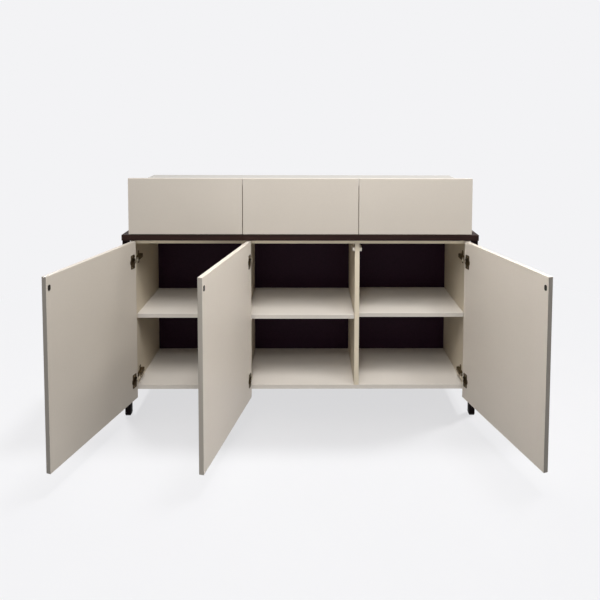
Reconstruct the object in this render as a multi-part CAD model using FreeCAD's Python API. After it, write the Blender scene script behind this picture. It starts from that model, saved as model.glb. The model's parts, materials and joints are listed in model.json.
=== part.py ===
import FreeCAD
import Part
import math
import os

# ----------------------------------------------------------------------------
# Office credenza: a dark slab on four square legs, a three-bay cupboard hung
# under it with push-open doors, and a low three-drawer box standing on top.
#
# Millimetres.  +X is to the right, +Y goes from the front to the back and +Z
# is up.  Sizes are laid out with y = 0 on the front edges of the cupboard's
# panels; the last step moves everything so that the origin lies on the floor
# under the middle of the piece as it stands, doors open.
# ----------------------------------------------------------------------------

# --- driving dimensions: overall
slab_length = 1557.0
slab_thickness = 25.0
slab_top_height = 809.0
cabinet_depth = 355.0
leg_size = 25.0
leg_inset = 3.5            # between the slab's end and a leg
leg_gap = 2.0              # between a leg and the cupboard's side
edge_break = 0.6           # small chamfer on the panels' outer edges

# --- panels
panel = 18.0
divider = 20.0
back_panel = 8.0
back_inset = 2.0           # from the rear edges to the back panel
cupboard_height = 675.0

# --- fronts
front_thickness = 18.0
front_gap = 3.0            # between neighbouring fronts
front_inset = 1.0          # from the cupboard's outer side to a front's edge
push_gap = 4.0             # travel left behind a closed front for the push latches
door_drop = 4.0            # under the slab
door_overhang = 29.0       # below the cupboard's underside
drawer_front_lift = 3.0    # over the slab
drawer_front_rise = 34.0   # above the upper box

# --- upper box
box_height = 213.0
box_divider = 18.0
drawer_wall = 12.0
drawer_box_height = 150.0
drawer_box_lift = 13.0
drawer_back_space = 19.0   # between a drawer and the box's back
drawer_bottom = 6.0
drawer_bottom_lift = 10.0
drawer_groove = 6.0

# --- runners, as distances from the cabinet side
runner_space = 13.0
runner_sheet = 1.2
runner_play = 0.3
runner_start = 3.0
runner_back_space = 42.0   # between the runners and the box's back
runner_hold = 20.0         # the length that stays engaged when a drawer is out
runner_half_height = 21.7
runner_lift = 58.0
runner_fixed_lip = 6.0
runner_middle_web = 5.6
runner_middle_reach = 3.4  # the middle member's lips past its web, toward the side

# --- shelves
shelf = 18.0
shelf_side_play = 1.0
shelf_back_play = 2.0
shelf_tops = {"left": 443.0, "middle": 445.0, "right": 448.0}
shelf_setbacks = {"left": 18.0, "middle": 2.0, "right": 15.0}
peg_radius = 2.5
peg_depth = 8.0
peg_tab_width = 8.0
peg_tab_reach = 9.0
peg_tab_thickness = 2.0
peg_inset = 45.0

# --- legs and glides
leg_wall = 2.0
leg_corner = 1.5
glide_height = 6.0
glide_margin = 1.0         # inside the leg's faces
glide_bevel = 1.0
glide_plug = 12.0
leg_plate = 58.0
leg_plate_thickness = 3.0
leg_plate_margin = 1.0

# --- screws
screw_radius = 2.5
screw_head_radius = 4.5
screw_head_depth = 2.5
panel_screw_length = 50.0
slab_screw_length = 33.0
plate_screw_length = 18.0
plate_screw_inset = 8.0    # from a leg plate's edges
screw_inset = 60.0
panel_screw_front = 45.0
panel_screw_back = 75.0
box_screw_inset = 95.0
slab_screw_columns = (0.93, 0.28)   # of half the cupboard's width

# --- concealed hinges, measured from a closed door's hinge edge and inner face
cup_radius = 17.5
cup_wall = 0.8
cup_depth = 12.0
cup_edge = 4.5             # door edge to the cup
cup_height_inset = 86.0    # door end to a cup's centre
cup_wing_height = 61.0
cup_wing_width = 26.0
cup_wing_thickness = 1.2
outer_door_angle = 107.0   # how far the doors stand open
middle_door_angle = 103.0
door_angle_limit = 110.0
arm_width = 12.0
arm_sheet = 3.0
knuckle_radius = 2.1
knuckle_play = 0.15
pin_radius = 1.0
link_width = 8.0
link_sheet = 2.0
fork_play = 0.3
fork_radius = 2.7
plate_length = 40.0
plate_start = 26.0         # behind the cupboard's front
plate_height = 56.0
plate_boss_height = 20.0
plate_wing_length = 14.0
plate_wing_sheet = 2.0
arm_back = 60.0

# outer doors' hinges: across from the door's edge, then behind its inner face
outer_axis_across = 9.5
outer_axis_depth = 16.5    # in front of the inner face
outer_pin_across = 33.3
outer_pin_depth = 3.3      # in front of the inner face
outer_link_length = 18.7
outer_plate = 6.0
outer_bend = 10.0
outer_link_closed = 195.9  # degrees, from across the door, toward the cupboard
outer_link_ratio = 0.5018  # the link's turn for each degree of the door's

# the middle door's hinges, cranked to sit half over the divider
inner_axis_across = 11.9
inner_axis_depth = 17.5
inner_pin_across = 33.7
inner_pin_depth = 1.3
inner_link_length = 18.4
inner_plate = 3.0
inner_bend = 12.0
inner_link_closed = 199.8
inner_link_ratio = 0.6430

# --- push latches
latch_width = 10.0
latch_height = 14.0
latch_depth = 56.0
latch_drop = 20.0          # under the cupboard's top panel
plunger_radius = 3.2
plunger_play = 0.3
plunger_length = 26.0
plunger_travel = 3.0
strike_width = 11.0
strike_height = 21.0
strike_thickness = 2.5
strike_sunk = 1.0
strike_gap = 0.3           # between a closed strike and a waiting plunger

# ----------------------------------------------------------------------------
# derived sizes
# ----------------------------------------------------------------------------
half_slab = slab_length / 2
half_legs = half_slab - leg_inset
half_cupboard = half_legs - leg_size - leg_gap
half_inside = half_cupboard - panel
slab_under = slab_top_height - slab_thickness
cupboard_bottom = slab_under - cupboard_height
floor_top = cupboard_bottom + panel
ceiling = slab_under - panel
half_fronts = half_cupboard - front_inset
front_width = (2 * half_fronts - 2 * front_gap) / 3
module = front_width + front_gap
divider_x = module / 2
front_back_face = -push_gap
front_face = -push_gap - front_thickness
back_face = cabinet_depth - back_inset - back_panel
door_top = slab_under - door_drop
door_bottom = cupboard_bottom - door_overhang
box_top_height = slab_top_height + box_height
box_ceiling = box_top_height - panel
drawer_front_bottom = slab_top_height + drawer_front_lift
drawer_front_top = box_top_height + drawer_front_rise
drawer_box_length = back_face - drawer_back_space - front_back_face
runner_length = back_face - runner_back_space - runner_start
drawer_travel = runner_length - runner_hold
box_divider_x = divider_x + front_gap
cup_heights = (door_bottom + cup_height_inset, door_top - cup_height_inset)

open_angles = {"left": outer_door_angle, "middle": middle_door_angle, "right": outer_door_angle}
names = ("left", "middle", "right")

# clear space between the upright panels of each bay
bays = {
    "left": (-half_inside, -divider_x - divider / 2),
    "middle": (-divider_x + divider / 2, divider_x - divider / 2),
    "right": (divider_x + divider / 2, half_inside),
}
drawer_bays = {
    "left": (-half_inside, -box_divider_x - box_divider / 2),
    "middle": (-box_divider_x + box_divider / 2, box_divider_x - box_divider / 2),
    "right": (box_divider_x + box_divider / 2, half_inside),
}
# the kinds of hinge; face is the distance from a door's edge to the wall behind it
hinge_types = {
    "outer": {"across": outer_axis_across, "depth": outer_axis_depth,
              "pin_across": outer_pin_across, "pin_depth": outer_pin_depth,
              "link": outer_link_length, "link_closed": outer_link_closed,
              "link_ratio": outer_link_ratio, "plate": outer_plate, "bend": outer_bend,
              "face": panel - front_inset},
    "inner": {"across": inner_axis_across, "depth": inner_axis_depth,
              "pin_across": inner_pin_across, "pin_depth": inner_pin_depth,
              "link": inner_link_length, "link_closed": inner_link_closed,
              "link_ratio": inner_link_ratio, "plate": inner_plate, "bend": inner_bend,
              "face": (divider - front_gap) / 2},
}
# each door: x of its hinge edge, the way it extends, and its kind of hinge
doors = {
    "left": (-half_fronts, 1, "outer"),
    "middle": (-half_fronts + module, 1, "inner"),
    "right": (half_fronts, -1, "outer"),
}
# each drawer front: its two ends in x
drawer_fronts = {
    "left": (-half_fronts, -box_divider_x - front_gap / 2),
    "middle": (-box_divider_x + front_gap / 2, box_divider_x - front_gap / 2),
    "right": (box_divider_x + front_gap / 2, half_fronts),
}


def block(x0, x1, y0, y1, z0, z1):
    """A box between two corners, given in any order along x."""
    low = FreeCAD.Vector(min(x0, x1), y0, z0)
    return Part.makeBox(abs(x1 - x0), y1 - y0, z1 - z0, low)


def rod(radius, start, length, direction):
    """A cylinder from start along direction."""
    return Part.makeCylinder(radius, length, FreeCAD.Vector(*start), FreeCAD.Vector(*direction))


def softened(shape, size=edge_break):
    """The same shape with all its edges chamfered."""
    return shape.makeChamfer(size, shape.Edges)


def united(shapes):
    """One solid from overlapping or touching shapes."""
    result = shapes[0]
    for other in shapes[1:]:
        result = result.fuse(other)
    return result.removeSplitter()


def without(shape, tools):
    """The shape with every tool cut from it."""
    if not tools:
        return shape
    return shape.cut(Part.makeCompound(tools))


def group(shapes):
    """Separate solids kept together as one node."""
    return Part.makeCompound(shapes)


def strip(points, sheet, z0, z1):
    """Sheet metal that follows a bent line in the XY plane, z0 to z1 high."""
    half = sheet / 2
    left = []
    right = []
    for index, (x, y) in enumerate(points):
        before = points[max(index - 1, 0)]
        after = points[min(index + 1, len(points) - 1)]
        first = (x - before[0], y - before[1])
        second = (after[0] - x, after[1] - y)
        if index == 0:
            first = second
        if index == len(points) - 1:
            second = first
        first_length = math.hypot(*first)
        second_length = math.hypot(*second)
        normal_x = -(first[1] / first_length + second[1] / second_length)
        normal_y = first[0] / first_length + second[0] / second_length
        scale = half * 2 / (normal_x ** 2 + normal_y ** 2)
        left.append((x + normal_x * scale, y + normal_y * scale))
        right.append((x - normal_x * scale, y - normal_y * scale))
    ring = left + right[::-1]
    ring.append(ring[0])
    outline = [FreeCAD.Vector(x, y, z0) for x, y in ring]
    return Part.Face(Part.makePolygon(outline)).extrude(FreeCAD.Vector(0, 0, z1 - z0))


def countersunk(start, direction, length):
    """A flat-headed screw: its head's top at start, pointing along direction."""
    head = Part.makeCone(screw_head_radius, screw_radius, screw_head_depth,
                         FreeCAD.Vector(*start), FreeCAD.Vector(*direction))
    shank_start = [s + d * screw_head_depth for s, d in zip(start, direction)]
    shank = rod(screw_radius, shank_start, length - screw_head_depth, direction)
    return united([head, shank])


def pan_screw(start, direction, length):
    """A pan-headed screw whose head's underside lies at start."""
    head_start = [s - d * screw_head_depth for s, d in zip(start, direction)]
    head = rod(screw_head_radius, head_start, screw_head_depth, direction)
    shank = rod(screw_radius, start, length, direction)
    return united([head, shank])


# ----------------------------------------------------------------------------
# slab and legs
# ----------------------------------------------------------------------------
def make_frame():
    """The slab, its four legs with welded plates, the glides and the screws."""
    nodes = {}
    glides = []
    screws = []
    pockets = []
    front_y = front_face
    back_y = cabinet_depth
    for end, side in (("left", -1), ("right", 1)):
        for row, near, way in (("front", front_y, 1), ("back", back_y, -1)):
            x_out = side * half_legs
            x_in = side * (half_legs - leg_size)
            y_low = min(near, near + way * leg_size)
            tube = block(x_out, x_in, y_low, y_low + leg_size, glide_height, slab_under)
            upright = [e for e in tube.Edges if e.BoundBox.ZLength > leg_size * 2]
            tube = tube.makeFillet(leg_corner, upright)
            hollow = block(x_out - side * leg_wall, x_in + side * leg_wall,
                           y_low + leg_wall, y_low + leg_size - leg_wall, glide_height, slab_under)
            x_plate = side * (half_legs - leg_plate_margin)
            near_plate = near + way * leg_plate_margin
            y_plate = min(near_plate, near_plate + way * leg_plate)
            plate = block(x_plate, x_plate - side * leg_plate, y_plate, y_plate + leg_plate,
                          slab_under, slab_under + leg_plate_thickness)
            holes = []
            close = plate_screw_inset
            far = leg_plate - plate_screw_inset
            for dx, dy in ((far, close), (far, far), (close, far)):
                start = (x_plate - side * dx, near_plate + way * dy, slab_under)
                holes.append(countersunk(start, (0, 0, 1), plate_screw_length))
            leg = united([tube.cut(hollow), plate])
            nodes["leg_%s_%s" % (row, end)] = without(leg, holes)
            screws.extend(holes)
            pockets.append(plate)
            foot = softened(block(x_out - side * glide_margin, x_in + side * glide_margin,
                                  y_low + glide_margin, y_low + leg_size - glide_margin,
                                  0, glide_height), glide_bevel)
            plug = block(x_out - side * leg_wall, x_in + side * leg_wall,
                         y_low + leg_wall, y_low + leg_size - leg_wall,
                         glide_height, glide_height + glide_plug)
            glides.append(united([foot, plug]))
    for column in slab_screw_columns:
        for side in (-1, 1):
            for y in (screw_inset, cabinet_depth - screw_inset):
                start = (side * column * half_cupboard, y, ceiling)
                screws.append(pan_screw(start, (0, 0, 1), slab_screw_length))
    slab = softened(block(-half_slab, half_slab, front_y, back_y, slab_under, slab_top_height))
    nodes["slab"] = without(slab, pockets + screws + make_box_screws())
    nodes["leg_glides"] = group(glides)
    nodes["slab_screws"] = group(screws)
    return nodes, screws


def make_box_screws():
    """Screws up through the slab into the upper box's uprights."""
    screws = []
    for x in (-half_cupboard + panel / 2, -box_divider_x, box_divider_x, half_cupboard - panel / 2):
        for y in (box_screw_inset, cabinet_depth - box_screw_inset):
            screws.append(countersunk((x, y, slab_under), (0, 0, 1), panel_screw_length + panel / 2))
    return screws


# ----------------------------------------------------------------------------
# cupboard
# ----------------------------------------------------------------------------
def make_carcass_screws():
    """Screws through the top, the bottom and the sides into the panels' ends."""
    screws = []
    rows = (panel_screw_front, cabinet_depth - panel_screw_back)
    uprights = (-half_cupboard + panel / 2, -divider_x, divider_x, half_cupboard - panel / 2)
    for y in rows:
        for x in uprights:
            screws.append(countersunk((x, y, slab_under), (0, 0, -1), panel_screw_length))
        for side in (-1, 1):
            start = (side * half_cupboard, y, cupboard_bottom + panel / 2)
            screws.append(countersunk(start, (-side, 0, 0), panel_screw_length))
            start = (side * divider_x, y, cupboard_bottom)
            screws.append(countersunk(start, (0, 0, 1), panel_screw_length))
    return screws


def make_shelves():
    """The three shelves and the pegs that carry them."""
    nodes = {}
    pegs = []
    for name in names:
        low, high = bays[name]
        top = shelf_tops[name]
        front = shelf_setbacks[name]
        board = block(low + shelf_side_play, high - shelf_side_play,
                      front, back_face - shelf_back_play, top - shelf, top)
        nodes["shelf_" + name] = softened(board)
        under = top - shelf
        for wall, way in ((low, 1), (high, -1)):
            for y in (peg_inset, back_face - peg_inset):
                centre = under - peg_radius
                peg = rod(peg_radius, (wall - way * peg_depth, y, centre), peg_depth + peg_tab_reach,
                          (way, 0, 0))
                tab = block(wall, wall + way * peg_tab_reach, y - peg_tab_width / 2,
                            y + peg_tab_width / 2, under - peg_tab_thickness, under)
                pegs.append(united([peg, tab]))
    nodes["shelf_pins"] = group(pegs)
    return nodes, pegs


def make_carcass(slab_screws):
    """The cupboard's panels, dividers, shelves and screws."""
    screws = make_carcass_screws()
    nodes, pegs = make_shelves()
    tools = screws + pegs + slab_screws
    for end, side in (("left", -1), ("right", 1)):
        wall = block(side * half_cupboard, side * half_inside, 0, cabinet_depth,
                     cupboard_bottom, ceiling)
        nodes["carcass_side_" + end] = without(wall, tools)
        upright = block(side * divider_x - divider / 2, side * divider_x + divider / 2,
                        0, back_face, floor_top, ceiling)
        nodes["divider_" + end] = without(upright, tools)
    top = block(-half_cupboard, half_cupboard, 0, cabinet_depth, ceiling, slab_under)
    bottom = block(-half_inside, half_inside, 0, cabinet_depth, cupboard_bottom, floor_top)
    nodes["carcass_top"] = without(top, tools)
    nodes["carcass_bottom"] = without(bottom, tools)
    nodes["back_panel"] = block(-half_inside, half_inside, back_face, back_face + back_panel,
                                floor_top, ceiling)
    nodes["carcass_screws"] = group(screws)
    return nodes


# ----------------------------------------------------------------------------
# upper box, drawers and runners
# ----------------------------------------------------------------------------
def make_upper_box():
    """The panels of the box that stands on the slab."""
    screws = make_box_screws()
    nodes = {"box_screws": group(screws)}
    for end, side in (("left", -1), ("right", 1)):
        wall = block(side * half_cupboard, side * half_inside, 0, cabinet_depth,
                     slab_top_height, box_ceiling)
        nodes["box_side_" + end] = without(wall, screws)
        upright = block(side * box_divider_x - box_divider / 2, side * box_divider_x + box_divider / 2,
                        0, back_face, slab_top_height, box_ceiling)
        nodes["box_divider_" + end] = without(upright, screws)
    top = block(-half_cupboard, half_cupboard, 0, cabinet_depth, box_ceiling, box_top_height)
    nodes["box_top"] = softened(top)
    nodes["box_back"] = block(-half_inside, half_inside, back_face, back_face + back_panel,
                              slab_top_height, box_ceiling)
    return nodes


def runner_member(wall, way, kind):
    """One member of a runner on the given side wall; way points into the bay."""
    middle_half = runner_half_height - runner_sheet - runner_play
    drawer_half = middle_half - runner_sheet - runner_play
    web_end = runner_middle_web + runner_sheet
    sizes = {
        "fixed": (0, runner_sheet, 0, runner_fixed_lip, runner_half_height),
        "middle": (runner_middle_web, web_end, runner_middle_web - runner_middle_reach,
                   runner_space - runner_sheet * 2, middle_half),
        "drawer": (runner_space - runner_sheet, runner_space, web_end + runner_sheet,
                   runner_space, drawer_half),
    }
    web_low, web_high, lip_low, lip_high, half = sizes[kind]
    z = slab_top_height + runner_lift
    y0 = runner_start
    y1 = runner_start + runner_length
    web = block(wall + way * web_low, wall + way * web_high, y0, y1, z - half, z + half)
    upper = block(wall + way * lip_low, wall + way * lip_high, y0, y1, z + half - runner_sheet, z + half)
    lower = block(wall + way * lip_low, wall + way * lip_high, y0, y1, z - half, z - half + runner_sheet)
    return united([web, upper, lower])


def make_drawers():
    """Fronts, boxes, bottoms and runners of the three drawers."""
    nodes = {}
    fixed = []
    for name in names:
        low, high = drawer_bays[name]
        front_low, front_high = drawer_fronts[name]
        front = block(front_low, front_high, front_face, front_back_face,
                      drawer_front_bottom, drawer_front_top)
        nodes["drawer_%s_front" % name] = softened(front)
        x0 = low + runner_space
        x1 = high - runner_space
        y0 = front_back_face
        y1 = front_back_face + drawer_box_length
        z0 = slab_top_height + drawer_box_lift
        z1 = z0 + drawer_box_height
        bottom_z = z0 + drawer_bottom_lift
        reach = drawer_wall - drawer_groove
        bottom = block(x0 + reach, x1 - reach, y0 + reach, y1 - reach, bottom_z, bottom_z + drawer_bottom)
        walls = [
            block(x0, x0 + drawer_wall, y0, y1, z0, z1),
            block(x1 - drawer_wall, x1, y0, y1, z0, z1),
            block(x0 + drawer_wall, x1 - drawer_wall, y0, y0 + drawer_wall, z0, z1),
            block(x0 + drawer_wall, x1 - drawer_wall, y1 - drawer_wall, y1, z0, z1),
        ]
        nodes["drawer_%s_box" % name] = group([wall.cut(bottom) for wall in walls])
        nodes["drawer_%s_bottom" % name] = bottom
        for kind in ("fixed", "middle", "drawer"):
            pair = [runner_member(low, 1, kind), runner_member(high, -1, kind)]
            if kind == "fixed":
                fixed.extend(pair)
            else:
                nodes["runner_%s_%s" % (kind, name)] = group(pair)
    nodes["runner_rails"] = group(fixed)
    return nodes


# ----------------------------------------------------------------------------
# doors, hinges and push latches
# ----------------------------------------------------------------------------
def door_axis(name):
    """The door's turning axis in plan."""
    edge, way, kind = doors[name]
    sizes = hinge_types[kind]
    return FreeCAD.Vector(edge + way * sizes["across"], front_back_face - sizes["depth"], 0)


def link_pin(name):
    """The arm's pin in plan, where the link turns."""
    edge, way, kind = doors[name]
    sizes = hinge_types[kind]
    return FreeCAD.Vector(edge + way * sizes["pin_across"], front_back_face - sizes["pin_depth"], 0)


def opened(shape, name):
    """A piece of a closed door moved to where the standing door has it."""
    way = doors[name][1]
    turned = shape.copy()
    turned.rotate(door_axis(name), FreeCAD.Vector(0, 0, 1), -way * open_angles[name])
    return turned


def make_cup(name, z):
    """A hinge cup with its wings, and the tool that bores the door for it."""
    edge, way, kind = doors[name]
    x = edge + way * (cup_edge + cup_radius)
    deep = (x, front_back_face - cup_depth, z)
    hole = rod(cup_radius, deep, cup_depth, (0, 1, 0))
    inner = (x, front_back_face - cup_depth + cup_wall, z)
    hollow = rod(cup_radius - cup_wall, inner, cup_depth + cup_wing_thickness, (0, 1, 0))
    wing = block(x - cup_wing_width / 2, x + cup_wing_width / 2, front_back_face,
                 front_back_face + cup_wing_thickness, z - cup_wing_height / 2, z + cup_wing_height / 2)
    corners = [e for e in wing.Edges if e.BoundBox.YLength > cup_wing_thickness / 2]
    wing = wing.makeFillet(cup_edge, corners)
    return united([hole, wing]).cut(hollow), hole


def latch_x(name):
    """The wall a door's push latch is fixed to, and the way into its bay."""
    low, high = bays[name]
    if doors[name][1] > 0:
        return high, -1
    return low, 1


def make_strike(x, z):
    """A flat strike plate with round ends, partly sunk in the door's inner face."""
    y0 = front_back_face - strike_sunk
    y1 = y0 + strike_thickness
    half = strike_width / 2
    end = strike_height / 2 - half
    plate = block(x - half, x + half, y0, y1, z - end, z + end)
    ends = [rod(half, (x, y0, z + way * end), strike_thickness, (0, 1, 0)) for way in (-1, 1)]
    return united([plate] + ends)


def make_doors():
    """The three doors with their cups and strikes, standing open."""
    nodes = {}
    strike_z = ceiling - latch_drop - latch_height / 2
    for name in names:
        edge, way, kind = doors[name]
        leaf = softened(block(edge, edge + way * front_width, front_face, front_back_face,
                              door_bottom, door_top))
        cups = [make_cup(name, z) for z in cup_heights]
        wall, inward = latch_x(name)
        strike = make_strike(wall + inward * latch_width / 2, strike_z)
        leaf = without(leaf, [hole for cup, hole in cups] + [strike])
        nodes["door_" + name] = opened(leaf, name)
        nodes["hinge_cups_" + name] = opened(group([cup for cup, hole in cups]), name)
        nodes["strike_" + name] = opened(strike, name)
    return nodes


def make_hinges():
    """Mounting plates, arms with their pins, and the links in the cups' mouths."""
    nodes = {}
    plates = []
    arms = []
    for name in names:
        edge, way, kind = doors[name]
        sizes = hinge_types[kind]
        wall = edge + way * sizes["face"]
        seat = wall + way * sizes["plate"]
        pin = link_pin(name)
        links = []
        for z in cup_heights:
            boss = block(wall, seat, plate_start, plate_start + plate_length,
                         z - plate_boss_height / 2, z + plate_boss_height / 2)
            wing_y = plate_start + (plate_length - plate_wing_length) / 2
            wings = block(wall, wall + way * plate_wing_sheet, wing_y, wing_y + plate_wing_length,
                          z - plate_height / 2, z + plate_height / 2)
            plates.append(united([boss, wings]))
            z0 = z - arm_width / 2
            z1 = z + arm_width / 2
            line = seat + way * arm_sheet / 2
            bend = sizes["bend"]
            points = [(pin.x, pin.y), (pin.x - way * arm_sheet / 2, pin.y + bend),
                      (line, pin.y + bend * 2), (line, arm_back)]
            arm = strip(points, arm_sheet, z0, z1)
            nose = rod(fork_radius, (pin.x, pin.y, z0), arm_width, (0, 0, 1))
            slot = rod(fork_radius + fork_play, (pin.x, pin.y, z - link_width / 2 - fork_play),
                       link_width + fork_play * 2, (0, 0, 1))
            axle = rod(pin_radius, (pin.x, pin.y, z0), arm_width, (0, 0, 1))
            arms.append(united([arm.fuse(nose).cut(slot), axle]))
            turn = math.radians(sizes["link_closed"] + sizes["link_ratio"] * open_angles[name])
            tip = (pin.x + way * sizes["link"] * math.cos(turn), pin.y + sizes["link"] * math.sin(turn))
            y0 = z - link_width / 2
            y1 = z + link_width / 2
            barrel = rod(knuckle_radius, (pin.x, pin.y, y0), link_width, (0, 0, 1))
            bore = rod(pin_radius + knuckle_play, (pin.x, pin.y, y0), link_width, (0, 0, 1))
            blade = strip([(pin.x, pin.y), tip], link_sheet, y0, y1)
            links.append(united([barrel, blade]).cut(bore))
        nodes["hinge_links_" + name] = group(links)
    nodes["hinge_plates"] = group(plates)
    nodes["hinge_arms"] = group(arms)
    return nodes


def make_latches():
    """Push-latch bodies on the dividers, and their plungers."""
    nodes = {}
    bodies = []
    z1 = ceiling - latch_drop
    z0 = z1 - latch_height
    tip = front_back_face + strike_thickness - strike_sunk + strike_gap
    for name in names:
        wall, inward = latch_x(name)
        x = wall + inward * latch_width / 2
        case = softened(block(wall, wall + inward * latch_width, 0, latch_depth, z0, z1))
        start = (x, tip, (z0 + z1) / 2)
        bore_length = plunger_length + plunger_travel * 2
        bore = rod(plunger_radius + plunger_play, start, bore_length, (0, 1, 0))
        bodies.append(case.cut(bore))
        nodes["latch_plunger_" + name] = rod(plunger_radius, start, plunger_length, (0, 1, 0))
    nodes["latch_bodies"] = group(bodies)
    return nodes


def make_all():
    """Every node of the credenza, laid out from the cupboard's front."""
    nodes, slab_screws = make_frame()
    nodes.update(make_carcass(slab_screws))
    nodes.update(make_upper_box())
    nodes.update(make_drawers())
    nodes.update(make_doors())
    nodes.update(make_hinges())
    nodes.update(make_latches())
    return nodes


def frame_shift(nodes):
    """The move in y that centres the standing piece on the origin."""
    box = Part.makeCompound(list(nodes.values())).optimalBoundingBox(False)
    return -(box.YMin + box.YMax) / 2


def main():
    """Build every node, centre the piece and write one file for each."""
    nodes = make_all()
    shift = FreeCAD.Vector(0, frame_shift(nodes), 0)
    os.makedirs("parts", exist_ok=True)
    for name in sorted(nodes):
        shape = nodes[name]
        shape.translate(shift)
        shape.exportStep("parts/%s.step" % name)
    print("nodes", len(nodes), "shift", shift.y)


main()
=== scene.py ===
import json
import logging
import math
from dataclasses import dataclass, replace
from enum import Enum, StrEnum
from typing import Iterable, Sequence

import bmesh
import bpy
import numpy as np
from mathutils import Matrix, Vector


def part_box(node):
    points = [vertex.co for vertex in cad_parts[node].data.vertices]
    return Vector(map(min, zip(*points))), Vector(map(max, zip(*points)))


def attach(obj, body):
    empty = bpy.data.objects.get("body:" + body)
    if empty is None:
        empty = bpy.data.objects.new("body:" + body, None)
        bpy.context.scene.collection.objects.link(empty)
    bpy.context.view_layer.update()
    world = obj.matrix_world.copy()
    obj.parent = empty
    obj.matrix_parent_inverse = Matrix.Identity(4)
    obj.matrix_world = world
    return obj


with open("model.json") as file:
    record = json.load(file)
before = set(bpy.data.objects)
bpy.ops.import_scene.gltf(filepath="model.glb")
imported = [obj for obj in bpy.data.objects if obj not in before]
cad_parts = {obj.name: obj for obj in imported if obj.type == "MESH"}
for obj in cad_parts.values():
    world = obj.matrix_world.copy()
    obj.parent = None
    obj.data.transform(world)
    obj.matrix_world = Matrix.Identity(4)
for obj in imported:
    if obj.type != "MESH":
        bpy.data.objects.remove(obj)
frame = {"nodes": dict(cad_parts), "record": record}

# Office credenza.  Metres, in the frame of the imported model: +X to the right,
# +Y from the front to the back, +Z up, the origin on the floor under the
# middle of the piece as it stands with its doors open.

LOG = logging.getLogger("credenza")
CABINET_BODY = "cabinet"
MERGE = 1e-7                # points closer than this are one
CRISP_ANGLE = 35.0          # degrees; an edge sharper than this isn't smoothed
DOME_TURN = 82.8            # degrees; how much of a quarter turn a dome's side takes
Vec = Sequence[float]
Colour = tuple[float, float, float]
Part = tuple[np.ndarray, list]


class Bay(StrEnum):
    """The three bays, from left to right."""

    LEFT = "left"
    MIDDLE = "middle"
    RIGHT = "right"


def box_corners(box: Iterable) -> list[list[float]]:
    """The two corners of a box as plain lists of numbers."""
    return [[float(value) for value in corner] for corner in box]


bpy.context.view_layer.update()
BOXES = {name: box_corners(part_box(name)) for name in frame["nodes"]}
JOINTS = {joint["name"]: joint for joint in frame["record"]["behaviour"]["joints"]}
FRONT_EDGE = BOXES["carcass_side_left"][0][1]     # y of the cupboard's front edges
FREE_EDGE_PAINTED_SHADE = {Bay.LEFT: 0.6, Bay.MIDDLE: 0.75, Bay.RIGHT: 0.45}     # painted shade on each door's free edge: its colour over the face's
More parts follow.
